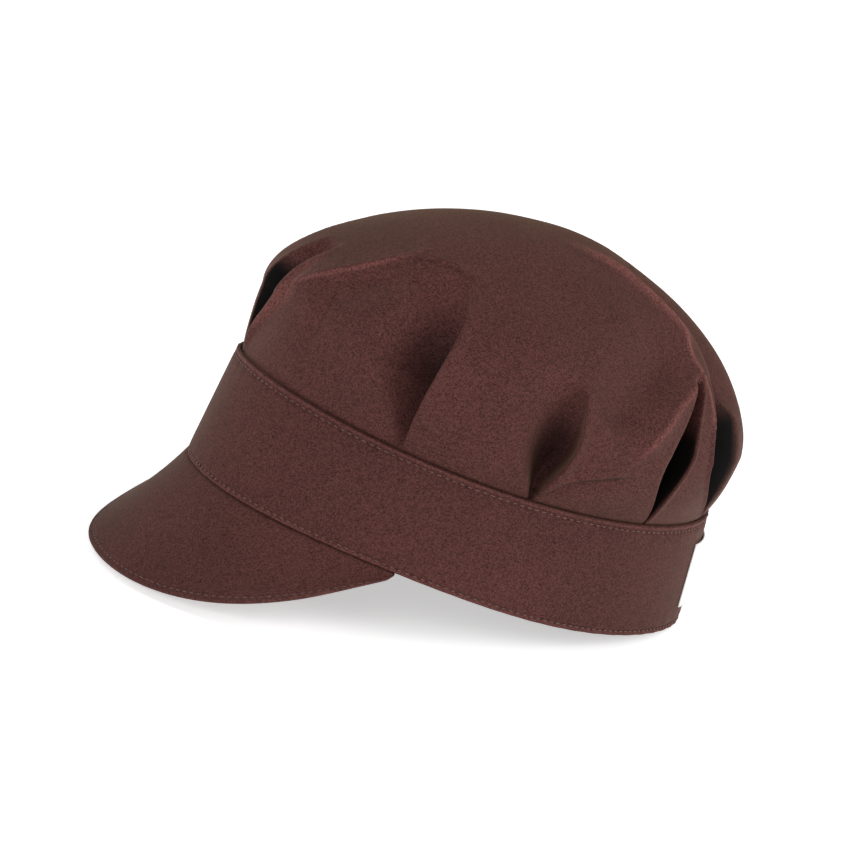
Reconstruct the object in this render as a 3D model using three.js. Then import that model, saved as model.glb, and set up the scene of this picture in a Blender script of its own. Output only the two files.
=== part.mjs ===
// A cook's cap: a full cloth crown pleated into a stitched band, with a short stiffened peak
// and a plain woven label at the back. It rests on the rear of its band and on the peak's edge.
// Millimetres. The front is towards -Y, the wearer's left towards +X, up is +Z.
import * as THREE from "three";

// Driving dimensions

const band = {
  circumference: 591,
  lengthToWidth: 1.23,
  height: 40.7,
  topInset: 4.5,
  lowerDip: 0.8,
  upperDip: 2.65,
  wall: 2.4,
  edgeRound: 0.4,
};

const crown = {
  wall: 1.8,
  hem: 8,
  sideBulge: 9,
  frontBulge: -2.3,
  rearBulge: 1.6,
  shoulderRise: 27.7,
  topRise: 82.8,
  topForward: -13.1,
  rearLift: 14.7,
  roundness: 1.8,
  shoulderShare: 0.2,
  clothLength: 145,
  panelRound: 1.5,
};

const peak = {
  halfAngle: 64.6,
  length: 50,
  fullness: 2.4,
  taper: 1.5,
  slope: 59.3,
  sideSlope: 5.7,
  endSlope: -37.5,
  forwardShare: 0.5,
  bow: -2.4,
  wall: 2.6,
  seam: 7,
  shortest: 1.6,
  edgeBack: 0.8,
};

const label = { fromAngle: 54, toAngle: 75, lower: 6, upper: 30, wall: 0.8 };

const clearance = 0.3;
const press = 0.8;

// Pleats, each a valley that starts at the band and fades out on the crown. Angles are degrees
// round the band from the wearer's left, 90 at the back. The valley runs from foot to head, bowed
// sideways by bow on the way, and is reach mm long. Its front side is soft mm wide, its rear side
// crisp mm wide.

const pleats = [
  { foot: -99, head: -95, bow: 4, reach: 62, depth: 9, soft: 7, crisp: 8 },
  { foot: -36, head: -41, bow: -1, reach: 66, depth: 9, soft: 12, crisp: 5 },
  { foot: -6, head: -7, bow: -1, reach: 56, depth: 11, soft: 9, crisp: 6 },
  { foot: 26, head: 32, bow: -1, reach: 64, depth: 11, soft: 5, crisp: 8 },
  { foot: 54, head: 44, bow: -9, reach: 64, depth: 11, soft: 6, crisp: 9 },
  { foot: 78, head: 80, bow: 2, reach: 54, depth: 9, soft: 7, crisp: 7 },
  { foot: 103, head: 101, bow: -2, reach: 60, depth: 10, soft: 8, crisp: 6 },
  { foot: 128, head: 134, bow: 6, reach: 62, depth: 10, soft: 6, crisp: 8 },
  { foot: 156, head: 150, bow: 1, reach: 60, depth: 10, soft: 8, crisp: 6 },
  { foot: 187, head: 189, bow: 1, reach: 56, depth: 10, soft: 6, crisp: 9 },
  { foot: 219, head: 223, bow: 1, reach: 64, depth: 9, soft: 6, crisp: 11 },
];

// Broad rolls of cloth between the pleats: height is positive for a ridge and negative for a dip.

const rolls = [
  { fromAngle: -84, fromClimb: 34, toAngle: -50, toClimb: 98, height: 2.5, width: 13 },
  { fromAngle: -72, fromClimb: 50, toAngle: -32, toClimb: 76, height: -2.5, width: 14 },
  { fromAngle: 2, fromClimb: 40, toAngle: 30, toClimb: 72, height: -2, width: 14 },
  { fromAngle: 38, fromClimb: 60, toAngle: 50, toClimb: 112, height: 2, width: 13 },
  { fromAngle: 218, fromClimb: 50, toAngle: 250, toClimb: 84, height: -2, width: 15 },
  { fromAngle: 140, fromClimb: 60, toAngle: 128, toClimb: 108, height: 2, width: 14 },
];

// Fineness of the faces

const bandSteps = 72;
const peakSteps = 36;
const labelSteps = 6;
const panelColumns = 3;
const outerRows = 19;
const innerRows = 15;
const rowCrowding = 1.25;

// Mesh columns follow the pleats: six stand at set shares of a pleat's width, from the soft
// side at -1 over the valley's floor at 0 to the crisp side at 1, and the rest share the panel.
const pleatShares = [-1, -0.6, -0.25, 0, 0.4, 1];

// The blade's rows, as shares of the way from the band to the peak's edge.
const bladeRuns = [0.12, 0.3, 0.5, 0.7, 0.88];

const DEGREE = Math.PI / 180;
const { lerp, smoothstep, clamp, euclideanModulo } = THREE.MathUtils;
const millimetresPerDegree = band.circumference / 360;

// Closed surfaces

// Joins rows of points into one closed surface. Every row is a ring of as many points. The rows
// themselves close on each other when looped; otherwise a fan to its middle closes each end.
function closedSkin(rows, looped = false) {
  const around = rows[0].length;
  const points = rows.flat();
  const faces = [];
  const last = looped ? rows.length : rows.length - 1;
  for (let row = 0; row < last; row += 1) {
    const here = row * around;
    const above = ((row + 1) % rows.length) * around;
    for (let column = 0; column < around; column += 1) {
      const next = (column + 1) % around;
      faces.push([here + column, here + next, above + next]);
      faces.push([here + column, above + next, above + column]);
    }
  }
  if (!looped) {
    const topStart = (rows.length - 1) * around;
    const bottom = points.push(middleOf(rows[0])) - 1;
    const top = points.push(middleOf(rows[rows.length - 1])) - 1;
    for (let column = 0; column < around; column += 1) {
      const next = (column + 1) % around;
      faces.push([bottom, next, column]);
      faces.push([top, topStart + column, topStart + next]);
    }
  }
  return outwardGeometry(points, faces);
}

function middleOf(ring) {
  const sum = ring.reduce((total, point) => total.add(point), new THREE.Vector3());
  return sum.divideScalar(ring.length);
}

function outwardGeometry(points, faces) {
  let volume = 0;
  for (const [a, b, c] of faces) {
    volume += points[a].dot(new THREE.Vector3().crossVectors(points[b], points[c]));
  }
  const order = volume > 0 ? faces : faces.map(([a, b, c]) => [a, c, b]);
  const geometry = new THREE.BufferGeometry().setFromPoints(points);
  geometry.setIndex(order.flat());
  geometry.computeVertexNormals();
  return geometry;
}

// The band

const halfWidth =
  (band.circumference / (2 * Math.PI)) * Math.sqrt(2 / (1 + band.lengthToWidth ** 2));
const halfLength = halfWidth * band.lengthToWidth;

// A point of the band's cone, inset mm inside its outer face and rise mm above its lower edge.
function bandPoint(angle, inset, rise) {
  const share = rise / band.height;
  const draw = band.topInset * share + inset;
  const dip = lerp(band.lowerDip, band.upperDip, share) * Math.cos(2 * angle);
  return new THREE.Vector3(
    (halfWidth - draw) * Math.cos(angle),
    (halfLength - draw) * Math.sin(angle),
    rise - dip,
  );
}

function bandGeometry() {
  const { wall, height, edgeRound } = band;
  const section = [
    [edgeRound, 0],
    [0, edgeRound],
    [0, height / 2],
    [0, height - edgeRound],
    [edgeRound, height],
    [wall - edgeRound, height],
    [wall, height - edgeRound],
    [wall, height / 2],
    [wall, edgeRound],
    [wall - edgeRound, 0],
  ];
  const rows = [];
  for (let step = 0; step < bandSteps; step += 1) {
    const angle = (step / bandSteps) * 2 * Math.PI;
    rows.push(section.map(([inset, rise]) => bandPoint(angle, inset, rise)));
  }
  return closedSkin(rows, true);
}

// The crown

// The full shape that the panels between the pleats touch. Share is 0 at the band's top edge and
// 1 at the top of the crown.
function fullShape(angle, share) {
  const tucked = band.wall + clearance;
  const rim = bandPoint(angle, tucked, band.height);
  const lengthBulge = Math.sin(angle) < 0 ? crown.frontBulge : crown.rearBulge;
  const wideX = rim.x + (crown.sideBulge + tucked) * Math.cos(angle);
  const wideY = rim.y + (lengthBulge + tucked) * Math.sin(angle);
  const shoulderZ = band.height + crown.shoulderRise;
  if (share < crown.shoulderShare) {
    const part = share / crown.shoulderShare;
    const swell = Math.sin((part * Math.PI) / 2) ** 0.7;
    return new THREE.Vector3(
      lerp(rim.x, wideX, swell),
      lerp(rim.y, wideY, swell),
      lerp(rim.z, shoulderZ, part),
    );
  }
  const turn = (((share - crown.shoulderShare) / (1 - crown.shoulderShare)) * Math.PI) / 2;
  const spread = Math.max(Math.cos(turn), 0) ** (2 / crown.roundness);
  const lift = Math.sin(turn) ** (2 / crown.roundness);
  return new THREE.Vector3(
    wideX * spread,
    wideY * spread + crown.topForward * lift,
    shoulderZ +
      (crown.topRise - crown.shoulderRise) * lift +
      crown.rearLift * Math.sin(angle) * lift * spread,
  );
}

// How far open a pleat is at a climb along the cloth: 0 at the band and past its head, 1 between.
function opening(pleat, climb) {
  const run = clamp(climb / pleat.reach, 0, 1);
  return Math.sin(Math.PI * run ** 0.85);
}

function valleyAngle(pleat, climb) {
  const run = clamp(climb / pleat.reach, 0, 1);
  const straight = lerp(pleat.foot, pleat.head, run);
  return straight + pleat.bow * Math.sin(Math.PI * run);
}

function crownColumns() {
  const columns = [];
  pleats.forEach((pleat, index) => {
    const following = pleats[(index + 1) % pleats.length];
    const turn = index + 1 === pleats.length ? 360 : 0;
    for (const across of pleatShares) {
      columns.push({ pleat, across });
    }
    for (let step = 1; step <= panelColumns; step += 1) {
      columns.push({ pleat, following, turn, panel: step / (panelColumns + 1) });
    }
  });
  return columns;
}

// Width in degrees of one side of a pleat, which starts narrow at the band.
function sideWidth(pleat, side, climb) {
  const spread = lerp(0.3, 1, smoothstep(climb, 0, pleat.reach * 0.45));
  return (side / millimetresPerDegree) * spread;
}

function columnAngle(column, climb) {
  const { pleat, across, following, turn, panel } = column;
  if (across !== undefined) {
    const side = across < 0 ? pleat.soft : pleat.crisp;
    return valleyAngle(pleat, climb) + across * sideWidth(pleat, side, climb);
  }
  const start = valleyAngle(pleat, climb) + sideWidth(pleat, pleat.crisp, climb);
  const end = turn + valleyAngle(following, climb) - sideWidth(following, following.soft, climb);
  return lerp(start, end, panel);
}

// Depth of the cloth below the full shape, mm.
function pleatDepth(column, climb) {
  const { pleat, across, following, panel } = column;
  if (across !== undefined) {
    return pleat.depth * opening(pleat, climb) * Math.cos((across * Math.PI) / 2) ** 2;
  }
  const nearEdge = Math.abs(2 * panel - 1) ** 3;
  const open = lerp(opening(pleat, climb), opening(following, climb), panel);
  return crown.panelRound * open * nearEdge;
}

// Height of the broad rolls at a place on the crown, each a soft bump round a straight line.
function rollHeight(angle, climb) {
  let total = 0;
  for (const roll of rolls) {
    const alongAngle = (roll.toAngle - roll.fromAngle) * millimetresPerDegree;
    const alongClimb = roll.toClimb - roll.fromClimb;
    const length = Math.hypot(alongAngle, alongClimb);
    const overAngle = wrap(angle - roll.fromAngle) * millimetresPerDegree;
    const overClimb = climb - roll.fromClimb;
    const along = (overAngle * alongAngle + overClimb * alongClimb) / length ** 2;
    const aside = (overAngle * alongClimb - overClimb * alongAngle) / length;
    const past = Math.max(-along, along - 1, 0) * length;
    total += roll.height * Math.exp(-((aside / roll.width) ** 2) - (past / roll.width) ** 2);
  }
  return total;
}

// Brings an angle in degrees to between -180 and 180.
function wrap(angle) {
  return euclideanModulo(angle + 180, 360) - 180;
}

// A point of the crown's cloth, under mm below its outer face. Above the pleats the columns
// drift to even angles, so that they meet evenly at the top.
function crownPoint(column, evenAngle, share, under) {
  const climb = share * crown.clothLength;
  const drift = smoothstep(climb, column.pleat.reach * 0.8, crown.clothLength * 0.9);
  const angle = lerp(columnAngle(column, climb), evenAngle, drift);
  const point = fullShape(angle * DEGREE, share);
  const heart = new THREE.Vector3(0, 0, band.height);
  const outward = point.clone().sub(heart).normalize();
  const rise = rollHeight(angle, climb) - pleatDepth(column, climb);
  return point.addScaledVector(outward, rise - under);
}

function crownRing(columns, share, under) {
  return columns.map((column, index) => {
    const evenAngle = pleats[0].foot + (index / columns.length) * 360;
    return crownPoint(column, evenAngle, share, under);
  });
}

// The hem is a plain ring inside the band.
function hemRing(columns, inset, rise) {
  return columns.map((column) => bandPoint(columnAngle(column, 0) * DEGREE, inset, rise));
}

// From the top down the outside, round the hem, and up the inside.
function crownGeometry() {
  const columns = crownColumns();
  const tucked = band.wall + clearance;
  const hemRise = band.height - crown.hem;
  const rows = [];
  for (let row = outerRows - 1; row > 0; row -= 1) {
    rows.push(crownRing(columns, (row / outerRows) ** rowCrowding, 0));
  }
  rows.push(hemRing(columns, tucked, band.height));
  rows.push(hemRing(columns, tucked, hemRise));
  rows.push(hemRing(columns, tucked + crown.wall, hemRise));
  rows.push(hemRing(columns, tucked + crown.wall, band.height));
  for (let row = 1; row < innerRows; row += 1) {
    rows.push(crownRing(columns, (row / innerRows) ** rowCrowding, crown.wall));
  }
  return closedSkin(rows);
}

// The peak

// The blade's outer face at an angle, run mm down its slope from the band's lower edge.
function bladeFrame(place) {
  const angle = (-90 + peak.halfAngle * place) * DEGREE;
  const root = bandPoint(angle, 0, 0);
  const across = new THREE.Vector3(root.x / halfWidth ** 2, root.y / halfLength ** 2, 0).normalize();
  const ahead = new THREE.Vector3(0, -1, 0);
  const outward = across.lerp(ahead, peak.forwardShare).normalize();
  const slope = (peak.slope + peak.sideSlope * place ** 2 + peak.endSlope * place ** 4) * DEGREE;
  const down = outward.clone().multiplyScalar(Math.cos(slope)).setZ(-Math.sin(slope));
  const face = outward.clone().multiplyScalar(Math.sin(slope)).setZ(Math.cos(slope));
  const full = Math.max(1 - Math.abs(place) ** peak.fullness, 0) ** (1 / peak.taper);
  const length = Math.max(peak.length * full, peak.shortest);
  return { angle, root, down, face, length };
}

function bladePoint(frame, run, under) {
  const bow = 4 * run * (1 - run) * peak.bow * (frame.length / peak.length);
  return frame.root
    .clone()
    .addScaledVector(frame.down, run * frame.length)
    .addScaledVector(frame.face, bow - under);
}

function peakGeometry() {
  const rows = [];
  const inner = band.wall + clearance;
  for (let step = 0; step <= peakSteps; step += 1) {
    const place = (2 * step) / peakSteps - 1;
    const frame = bladeFrame(place * 0.995);
    const nose = 1 - peak.edgeBack / frame.length;
    const row = [
      bandPoint(frame.angle, inner, peak.seam),
      bandPoint(frame.angle, inner, -clearance),
      bandPoint(frame.angle, 0, -clearance),
      ...bladeRuns.map((run) => bladePoint(frame, run * nose, clearance)),
      bladePoint(frame, nose, clearance),
      bladePoint(frame, 1, peak.wall / 2),
      bladePoint(frame, nose, peak.wall),
      ...bladeRuns.toReversed().map((run) => bladePoint(frame, run * nose, peak.wall)),
      bandPoint(frame.angle, inner + peak.wall, -clearance - peak.wall),
      bandPoint(frame.angle, inner + peak.wall, peak.seam),
    ];
    rows.push(row);
  }
  return closedSkin(rows);
}

// The label

function labelGeometry() {
  const rows = [];
  const { fromAngle, toAngle, lower, upper, wall } = label;
  for (let step = 0; step <= labelSteps; step += 1) {
    const angle = lerp(fromAngle, toAngle, step / labelSteps) * DEGREE;
    rows.push([
      bandPoint(angle, -clearance, lower),
      bandPoint(angle, -clearance - wall, lower),
      bandPoint(angle, -clearance - wall, upper),
      bandPoint(angle, -clearance, upper),
    ]);
  }
  return closedSkin(rows);
}

// Materials

const chocolate = new THREE.MeshStandardMaterial({ color: "#5b3d3b", roughness: 0.85, metalness: 0 });
const white = new THREE.MeshStandardMaterial({ color: "#f1efec", roughness: 0.8, metalness: 0 });

// Assembly: the cap leans back until the peak's edge and the rear of the band share one plane.

function restAngle() {
  const heel = bandPoint(90 * DEGREE, 0, 0);
  let steepest = 0;
  for (let step = 0; step <= peakSteps; step += 1) {
    const frame = bladeFrame((2 * step) / peakSteps - 1);
    const edge = bladePoint(frame, 1, peak.wall);
    steepest = Math.max(steepest, Math.atan2(heel.z - edge.z, heel.y - edge.y));
  }
  return steepest;
}

function pieceMesh(name, geometry, material) {
  const mesh = new THREE.Mesh(geometry, material);
  mesh.name = name;
  return mesh;
}

const cap = new THREE.Group();
cap.add(pieceMesh("crown", crownGeometry(), chocolate));
cap.add(pieceMesh("band", bandGeometry(), chocolate));
cap.add(pieceMesh("peak", peakGeometry(), chocolate));
cap.add(pieceMesh("label", labelGeometry(), white));
cap.rotation.x = -restAngle();

const standing = new THREE.Group();
standing.add(cap);
standing.updateMatrixWorld(true);

// Where the cloth meets the surface it is pressed flat.
function pressFlat(group, floor) {
  for (const mesh of group.children) {
    const back = mesh.matrixWorld.clone().invert();
    const places = mesh.geometry.getAttribute("position");
    const point = new THREE.Vector3();
    for (let index = 0; index < places.count; index += 1) {
      point.fromBufferAttribute(places, index).applyMatrix4(mesh.matrixWorld);
      if (point.z < floor) {
        point.setZ(floor).applyMatrix4(back);
        places.setXYZ(index, point.x, point.y, point.z);
      }
    }
    mesh.geometry.computeVertexNormals();
  }
}

const lowest = new THREE.Box3().setFromObject(cap, true).min.z;
pressFlat(cap, lowest + press);
const bounds = new THREE.Box3().setFromObject(cap, true);
const centre = bounds.getCenter(new THREE.Vector3());
standing.position.set(-centre.x, -centre.y, -bounds.min.z);

export default standing;
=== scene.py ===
# %% [markdown]
# # A cook's cap in brown twill
#
# The real cap is three pieces of cloth and a label: a full crown pleated into a doubled band,
# and a short stiffened peak sewn in under the band's front. The measured model of those pieces
# is loaded first. Each soft piece is then modelled again over it, finely, with its folds,
# rolled edges, stitches and weave. Sizes below are in millimetres in the cap's own level frame,
# which `at_rest` leans back and turns into metres.

# %% Open the frame
import math

import bpy
import numpy as np
from mathutils import Matrix, Vector, noise


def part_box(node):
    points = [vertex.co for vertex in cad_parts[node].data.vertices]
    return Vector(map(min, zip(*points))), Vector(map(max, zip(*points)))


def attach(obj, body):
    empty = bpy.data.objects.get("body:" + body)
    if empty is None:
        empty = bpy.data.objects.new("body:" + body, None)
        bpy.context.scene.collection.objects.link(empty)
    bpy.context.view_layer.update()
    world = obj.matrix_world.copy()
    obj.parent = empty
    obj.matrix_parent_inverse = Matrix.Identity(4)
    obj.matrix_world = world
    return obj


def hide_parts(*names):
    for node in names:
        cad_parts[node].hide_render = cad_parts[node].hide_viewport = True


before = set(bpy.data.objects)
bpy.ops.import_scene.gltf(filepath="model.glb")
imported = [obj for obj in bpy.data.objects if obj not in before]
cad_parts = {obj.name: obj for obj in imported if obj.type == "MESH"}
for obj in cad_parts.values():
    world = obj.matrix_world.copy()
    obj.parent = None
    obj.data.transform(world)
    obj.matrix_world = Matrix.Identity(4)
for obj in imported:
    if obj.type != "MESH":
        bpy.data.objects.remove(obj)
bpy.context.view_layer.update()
MM = 0.001
print("measured pieces:", ", ".join(sorted(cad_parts)))

# %% [markdown]
# The photograph looks at the wearer's left side, half from the front and a little from above,
# with the camera tipped so that the cap seems to lean back. A long lens from nine tenths of a
# metre keeps the near pleats from swelling. The place that the camera looks at, and its distance,
# angles and tip are all that it needs.

# %% The camera
view_round = math.radians(68.07)
view_height = math.radians(14.95)
view_tip = math.radians(10.6)
view_distance = 0.8954
view_centre = Vector((0.0020, -0.0027, 0.0594))
lens_length, film_width = 100, 36

away = Vector((
    math.sin(view_round) * math.cos(view_height),
    -math.cos(view_round) * math.cos(view_height),
    math.sin(view_height),
))
bpy.ops.object.camera_add(location=view_centre + away * view_distance)
camera = bpy.context.object
camera.rotation_euler = away.to_track_quat("Z", "Y").to_euler()
camera.rotation_euler.rotate_axis("Z", view_tip)
camera.data.lens = lens_length
camera.data.sensor_width = film_width
bpy.context.scene.camera = camera
print("camera:", view_distance, "m from the middle of the cap")

# %% [markdown]
# ## The band's cone, which everything else is measured from
#
# The band goes round an oval head, a little narrower at its top than at its lower edge. Both edges
# dip at the sides, and the lower one sags most a little behind the middle of each side. One
# function gives any point in or on its wall: inset goes inwards from the outer face, and rise goes
# up from the lower edge. The cap rests on the rear of the band and the edge of the peak, so the
# whole shape leans back; its place comes from the box of the measured band.

# %% Sizes of the band and the way that the cap rests
band_girth = 591
half_width = 83.9
half_length = 103.2
band_height = 40.7
band_draw = 4.5
lower_dip = -0.7
upper_dip = 2.65
side_sag = 3.9
sag_place = math.radians(12)
sag_wide = math.radians(36)
band_wall = 1.7
clearance = 0.3
lean_back = math.radians(10.965)


def band_point(angle, inset, rise):
    share = rise / band_height
    draw = band_draw * share + inset
    dip = (lower_dip + (upper_dip - lower_dip) * share) * np.cos(2 * angle)
    from_sag = (np.arcsin(np.sin(angle)) - sag_place) / sag_wide
    dip = dip + side_sag * (1 - share) * np.exp(-(from_sag ** 2))
    across = (half_width - draw) * np.cos(angle)
    along = (half_length - draw) * np.sin(angle)
    return np.stack(np.broadcast_arrays(across, along, rise - dip), axis=-1)


turn = np.array(Matrix.Rotation(-lean_back, 3, "X"))
quarters = np.radians(np.arange(0, 360, 5))
outline = np.concatenate([band_point(quarters, 0, 0), band_point(quarters, 0, band_height)])
leaned = outline @ turn.T * MM
box_low, box_high = (np.array(corner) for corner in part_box("band"))
stand = (box_low + box_high) / 2 - (leaned.min(axis=0) + leaned.max(axis=0)) / 2
stand[2] = box_high[2] - leaned[:, 2].max()


def at_rest(points):
    placed = points @ turn.T * MM + stand
    placed[..., 2] = np.maximum(placed[..., 2], 0.0)
    return placed


print("the cap's own origin rests at", stand.round(4))

# %% [markdown]
# ## Rolling up a grid of cloth
#
# Cloth starts flat, so each cloth piece starts as a flat grid primitive. Its vertices are then
# moved, row by row, to where the sewn cloth has them, and its UV map is set to the place on the
# flat cut, in metres, so that the weave keeps its true size everywhere. Where two edges of the grid
# meet they are merged, which closes the tube or the dome. A place can also carry notes, numbers
# that the material reads later. Single cloth then gets its thickness from a Solidify modifier.

# %% A helper that lays a grid of cloth on a table of points
merge_reach = 0.000004


def clear_selection():
    if bpy.context.object and bpy.context.object.mode != "OBJECT":
        bpy.ops.object.mode_set(mode="OBJECT")
    bpy.ops.object.select_all(action="DESELECT")


def merge_doubles():
    bpy.ops.object.mode_set(mode="EDIT")
    bpy.ops.mesh.select_all(action="SELECT")
    bpy.ops.mesh.remove_doubles(threshold=merge_reach)
    bpy.ops.mesh.select_all(action="DESELECT")
    bpy.ops.object.mode_set(mode="OBJECT")
    bpy.ops.object.shade_smooth()


def lay_cloth(name, points, cut, notes=None):
    """points and cut hold, for each row and column, a place in the cap's frame and on the flat cut.

    notes, where they are given, hold a named number for each place, for the material to read.
    """
    rows, columns = points.shape[0] - 1, points.shape[1] - 1
    clear_selection()
    bpy.ops.mesh.primitive_grid_add(x_subdivisions=columns, y_subdivisions=rows, size=1)
    piece = bpy.context.object
    piece.name = name
    piece.data.name = name
    mesh = piece.data
    flat = np.empty(len(mesh.vertices) * 3)
    mesh.vertices.foreach_get("co", flat)
    flat = flat.reshape(-1, 3)
    column = np.rint((flat[:, 0] + 0.5) * columns).astype(int)
    row = np.rint((flat[:, 1] + 0.5) * rows).astype(int)
    mesh.vertices.foreach_set("co", at_rest(points[row, column]).ravel())
    corner = np.empty(len(mesh.loops), dtype=np.int32)
    mesh.loops.foreach_get("vertex_index", corner)
    mesh.uv_layers[0].data.foreach_set("uv", (cut[row, column][corner] * MM).ravel())
    for note_name, values in (notes or {}).items():
        note = mesh.attributes.new(note_name, "FLOAT", "POINT")
        note.data.foreach_set("value", np.array(values)[row, column].astype(np.float32))
    mesh.update()
    merge_doubles()
    return piece


def thicken(piece, thickness, side):
    """Side is 1 to add the thickness outwards and -1 to add it inwards."""
    bpy.ops.object.modifier_add(type="SOLIDIFY")
    wall = piece.modifiers[-1]
    wall.thickness = thickness * MM
    wall.offset = side
    bpy.ops.object.modifier_apply(modifier=wall.name)


def flat_cut(across, along):
    """Places on a flat cut: across for each column and along for each row."""
    return np.stack(np.broadcast_arrays(across[None, :], along[:, None]), axis=-1)


def unit(vectors):
    return vectors / np.linalg.norm(vectors, axis=-1, keepdims=True)


def mix(start, end, share):
    return start + (end - start) * share


def ease(value, start, end):
    share = np.clip((value - start) / (end - start), 0, 1)
    return share * share * (3 - 2 * share)


# %% [markdown]
# ## The crown's full shape
#
# Without its pleats the crown is a dome that swells out over the band, leans forward at the top
# and is higher at the back. `full_shape` gives the dome that the panels between the pleats touch.
# Share is 0 at the band's top edge and 1 at the top of the crown.

# %% Sizes of the crown
side_bulge = 9.0
front_bulge = -1.5
rear_bulge = 1.6
shoulder_rise = 27.7
top_rise = 82.8
top_forward = -13.1
rear_lift = 14.7
shoulder_share = 0.2
swell_power = 0.7
roundness = 1.8
round_from = 0.9
cloth_length = 145.0
tucked = band_wall + clearance
mm_per_degree = band_girth / 360


def full_shape(angle, share):
    rim = band_point(angle, tucked, band_height)
    end_bulge = np.where(np.sin(angle) < 0, front_bulge, rear_bulge)
    wide_x = rim[..., 0] + (side_bulge + tucked) * np.cos(angle)
    wide_y = rim[..., 1] + (end_bulge + tucked) * np.sin(angle)
    shoulder_z = band_height + shoulder_rise
    part = np.clip(share / shoulder_share, 0, 1)
    swell = np.sin(part * math.pi / 2) ** swell_power
    low = np.stack([
        mix(rim[..., 0], wide_x, swell),
        mix(rim[..., 1], wide_y, swell),
        mix(rim[..., 2], shoulder_z, part),
    ], axis=-1)
    bend = np.clip((share - shoulder_share) / (1 - shoulder_share), 0, 1) * math.pi / 2
    power = mix(2 / roundness, 1, ease(bend, round_from, math.pi / 2))
    spread = np.maximum(np.cos(bend), 0) ** power
    lift = np.sin(bend) ** power
    high = np.stack([
        wide_x * spread,
        wide_y * spread + top_forward * lift,
        shoulder_z + (top_rise - shoulder_rise) * lift + rear_lift * np.sin(angle) * lift * spread,
    ], axis=-1)
    return np.where((share < shoulder_share)[..., None], low, high)


# %% [markdown]
# ## The pleats
#
# Each pleat is a fold that is sewn flat at the band and opens upwards into a pocket before it
# fades out. One edge of it is soft: the panel rolls over into the valley. The other is crisp:
# the next panel starts at a sharp fold. Angles are degrees round the band from the wearer's left,
# 90 at the back; the rest are millimetres, or shares where it says so. The columns are:
#
# - foot and head, the angles at the band and at the upper end, and bow, the bend between them;
# - reach, how far up the cloth it goes, top, the share of its width that is left at its upper
#   end, deepest, the share of its reach at which it is deepest, and depth, how deep that is;
# - soft and crisp, how wide the two sides are, and widest, the share of its reach by which the
#   crisp side is open;
# - under, how far the crisp fold overhangs the valley, or, below 0, how far the valley's side
#   slopes down from it, roll, how wide that fold is rounded, and proud, how far it stands out;
# - facing, 1 where the crisp fold is on the side of the larger angle, and -1 on the other;
# - dark, the share of the full depth at which the pocket is painted black, as shade, on its soft
#   side, lip, the same under the crisp fold, never where it is above 1, and closes, how far up that
#   painted black goes;
# - step, how far apart the columns of the panel after the pleat are, in degrees.

# %% The table of pleats
pleat_columns = (
    "foot bow head reach top deepest depth soft crisp widest under roll proud facing dark lip "
    "closes step"
).split()
pleat_rows = [
    [-99, 0, -91, 80, 1, 0.36, 26, 7, 16, 0.42, 9, 5, 2.3, 1, 0.03, 0.05, 63, 1.5],
    [-35.5, -4.4, -38.6, 86, 1, 0.48, 17, 23, 15.5, 0.7, 1, 4, 1.5, 1, 1.35, 1.35, 99, 2.2],
    [-4.6, -2.6, -6.2, 57, 1, 0.36, 15, 16, 10, 0.42, 3, 3.5, 1.2, 1, 1.45, 1.45, 99, 1.0],
    [26.5, -4.7, 34.5, 66, 0.5, 0.40, 24, 7.5, 4.5, 0.42, 4, 2.2, 0.8, 1, 0.4, 0.05, 54, 1.5],
    [54, -7, 51, 66, 0.9, 0.46, 22, 12, 16, 0.42, 0, 2.2, 0.8, -1, 0.05, 0.05, 62, 4.2],
    [79, 2, 78, 62, 1, 0.46, 16, 10, 5, 0.42, 5, 5, 0.8, -1, 1.0, 1.0, 99, 4.2],
    [104, -1, 102, 68, 1, 0.46, 18, 11, 5, 0.42, 5, 6, 0.8, 1, 1.0, 1.0, 99, 4.2],
    [130, 5, 135, 70, 1, 0.46, 19, 12, 5, 0.42, 5, 6, 0.8, 1, 1.0, 1.0, 99, 4.2],
    [158, 0, 153, 68, 1, 0.46, 18, 13, 6, 0.42, 5, 6, 1.0, -1, 1.0, 1.0, 99, 4.2],
    [187, -1, 189, 64, 1, 0.44, 18, 14, 6, 0.42, 5, 7, 1.0, -1, 1.0, 1.0, 99, 4.2],
    [219, 2, 221, 74, 1, 0.48, 16, 14, 13, 0.42, -6, 8, 1.2, -1, 1.4, 1.4, 99, 4.2],
]
pleats = [dict(zip(pleat_columns, row)) for row in pleat_rows]

# The section across an open pleat, from its soft side to the crisp fold and just past it.
# Each column is a share of the pleat's own width or height of that name.
section_columns = "soft crisp under roll depth proud".split()
section = np.array([
    [-1.40, 0.0, 0.00, 0.00, 0.00, 0.00],
    [-1.00, 0.0, 0.00, 0.00, 0.01, 0.30],
    [-0.66, 0.0, 0.00, 0.00, 0.11, 0.30],
    [-0.34, 0.0, 0.00, 0.00, 0.41, 0.00],
    [-0.06, 0.1, 0.00, 0.00, 0.79, 0.00],
    [0.00, 0.6, 0.35, 0.00, 1.00, 0.00],
    [0.00, 1.0, 0.95, 0.00, 0.90, 0.00],
    [0.00, 1.0, 0.95, 0.02, 0.58, 0.00],
    [0.00, 1.0, 0.35, 0.02, 0.24, 0.40],
    [0.00, 1.0, 0.00, 0.00, 0.06, 0.75],
    [0.00, 1.0, 0.00, 0.10, 0.00, 1.00],
    [0.00, 1.0, 0.00, 0.45, 0.00, 0.95],
    [0.00, 1.0, 0.00, 1.00, 0.00, 0.00],
])
section_steps = 26
print("pleats:", len(pleats), "with", section_steps, "columns each")
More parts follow.
